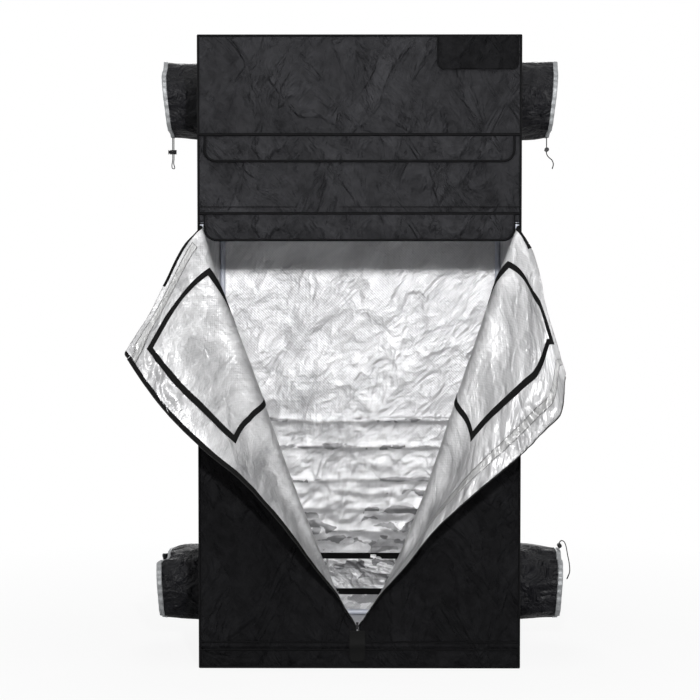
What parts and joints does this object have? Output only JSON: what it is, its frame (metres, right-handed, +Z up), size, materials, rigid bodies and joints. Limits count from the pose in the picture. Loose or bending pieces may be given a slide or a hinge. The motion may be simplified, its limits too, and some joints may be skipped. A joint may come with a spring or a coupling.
{
  "type": "indoor grow tent",
  "caption": "Tall black canvas grow tent on a steel tube frame, its two door leaves folded back to show the silver lining, with duct sleeves on both sides.",
  "frame": {"origin": "centre of the floor panel's underside, on the ground", "axes": "+Z up, the door faces -Y, +X to the right when facing the door from outside"},
  "size_m": [1.7182, 1.4917, 2.41],
  "materials": {
    "black_canvas": "matt woven canvas",
    "silver_film": "bright reflective film on canvas",
    "black_nylon": "thin glossy nylon",
    "coated_steel": "smooth white coated steel tube",
    "zip_metal": "black enamelled metal",
    "black_plastic": "moulded",
    "black_cord": "braided cord"
  },
  "bodies": {
    "tent": {"bottom_bar_front": "coated_steel", "bottom_bar_back": "coated_steel", "bottom_bar_left": "coated_steel", "bottom_bar_right": "coated_steel", "bottom_corner_front_left": "coated_steel", "bottom_corner_front_right": "coated_steel", "bottom_corner_back_left": "coated_steel", "bottom_corner_back_right": "coated_steel", "top_bar_front": "coated_steel", "top_bar_back": "coated_steel", "top_bar_left": "coated_steel", "top_bar_right": "coated_steel", "top_corner_front_left": "coated_steel", "top_corner_front_right": "coated_steel", "top_corner_back_left": "coated_steel", "top_corner_back_right": "coated_steel", "lower_pole_front_left": "coated_steel", "extension_pole_front_left": "coated_steel", "lower_pole_front_right": "coated_steel", "extension_pole_front_right": "coated_steel", "lower_pole_back_left": "coated_steel", "extension_pole_back_left": "coated_steel", "lower_pole_back_right": "coated_steel", "extension_pole_back_right": "coated_steel", "floor_panel": "black_canvas", "roof_panel": "black_canvas", "wall_left": "black_canvas", "wall_right": "black_canvas", "wall_back": "black_canvas", "front_top_panel": "black_canvas", "front_extension_panel": "black_canvas", "front_sill_panel": "black_canvas", "front_side_left": "black_canvas", "front_side_right": "black_canvas", "duct_sleeve_upper_left": "black_nylon", "duct_sleeve_lower_left": "black_nylon", "duct_sleeve_upper_right": "black_nylon", "duct_sleeve_lower_right": "black_nylon", "drawcord_upper_left": "black_cord", "drawcord_upper_right": "black_cord", "drawcord_lower_right": "black_cord", "rear_vent_net": "black_cord"},
    "left_leaf": {"door_leaf_left": "silver_film", "window_cover_left": "silver_film"},
    "right_leaf": {"door_leaf_right": "silver_film", "window_cover_right": "silver_film"},
    "centre_slider": {"zip_slider_centre": "zip_metal"},
    "left_slider": {"zip_slider_left": "zip_metal"},
    "right_slider": {"zip_slider_right": "zip_metal"},
    "extension_flap": {"extension_zip_flap": "black_canvas"},
    "door_flap": {"door_zip_flap": "black_canvas"},
    "vent_cover": {"rear_vent_cover": "silver_film"},
    "front_hanging_bar": {"hanging_bar_front": "coated_steel"},
    "back_hanging_bar": {"hanging_bar_back": "coated_steel"},
    "lock_upper_left": {"cord_lock_upper_left": "black_plastic"},
    "plunger_upper_left": {"cord_plunger_upper_left": "black_plastic"},
    "lock_upper_right": {"cord_lock_upper_right": "black_plastic"},
    "plunger_upper_right": {"cord_plunger_upper_right": "black_plastic"},
    "lock_lower_right": {"cord_lock_lower_right": "black_plastic"},
    "plunger_lower_right": {"cord_plunger_lower_right": "black_plastic"}
  },
  "joints": [
    {"name": "left_leaf_fold", "type": "hinge", "parent": "tent", "child": "left_leaf", "pos_m": [-0.598, -0.61, 1.69], "axis": [-0.3574, 0, 0.934], "range_deg": [0, 63]},
    {"name": "right_leaf_fold", "type": "hinge", "parent": "tent", "child": "right_leaf", "pos_m": [0.598, -0.61, 1.69], "axis": [-0.3659, 0, -0.9307], "range_deg": [0, 63]},
    {"name": "centre_slider_travel", "type": "slide", "parent": "tent", "child": "centre_slider", "axis": [0, 0, 1], "range_m": [0, 1.42]},
    {"name": "left_slider_travel", "type": "slide", "parent": "tent", "child": "left_slider", "axis": [1, 0, 0], "range_m": [0, 0.56]},
    {"name": "right_slider_travel", "type": "slide", "parent": "tent", "child": "right_slider", "axis": [-1, 0, 0], "range_m": [0, 0.555]},
    {"name": "extension_flap_lift", "type": "hinge", "parent": "tent", "child": "extension_flap", "pos_m": [0, -0.6119, 2.035], "axis": [-1, 0, 0], "range_deg": [0, 110]},
    {"name": "door_flap_lift", "type": "hinge", "parent": "tent", "child": "door_flap", "pos_m": [0, -0.6119, 1.737], "axis": [-1, 0, 0], "range_deg": [0, 110]},
    {"name": "vent_cover_lift", "type": "hinge", "parent": "tent", "child": "vent_cover", "pos_m": [0, 0.6059, 0.272], "axis": [-1, 0, 0], "range_deg": [0, 150]},
    {"name": "front_bar_slide", "type": "slide", "parent": "tent", "child": "front_hanging_bar", "axis": [0, 1, 0], "range_m": [-0.3, 0.18]},
    {"name": "back_bar_slide", "type": "slide", "parent": "tent", "child": "back_hanging_bar", "axis": [0, 1, 0], "range_m": [-0.18, 0.3]},
    {"name": "lock_slide_upper_left", "type": "slide", "parent": "tent", "child": "lock_upper_left", "axis": [0, 0, 1], "range_m": [-0.02, 0.045]},
    {"name": "plunger_press_upper_left", "type": "slide", "parent": "lock_upper_left", "child": "plunger_upper_left", "axis": [1, 0, 0], "range_m": [0, 0.0035], "stiffness_N_per_m": 400, "springref_m": -0.003},
    {"name": "lock_slide_upper_right", "type": "slide", "parent": "tent", "child": "lock_upper_right", "axis": [0, 0, 1], "range_m": [-0.005, 0.036]},
    {"name": "plunger_press_upper_right", "type": "slide", "parent": "lock_upper_right", "child": "plunger_upper_right", "axis": [0, 1, 0], "range_m": [0, 0.0035], "stiffness_N_per_m": 400, "springref_m": -0.003},
    {"name": "lock_slide_lower_right", "type": "slide", "parent": "tent", "child": "lock_lower_right", "axis": [0, 0, 1], "range_m": [-0.003, 0.002]},
    {"name": "plunger_press_lower_right", "type": "slide", "parent": "lock_lower_right", "child": "plunger_lower_right", "axis": [0, 1, 0], "range_m": [0, 0.0035], "stiffness_N_per_m": 400, "springref_m": -0.003}
  ]
}
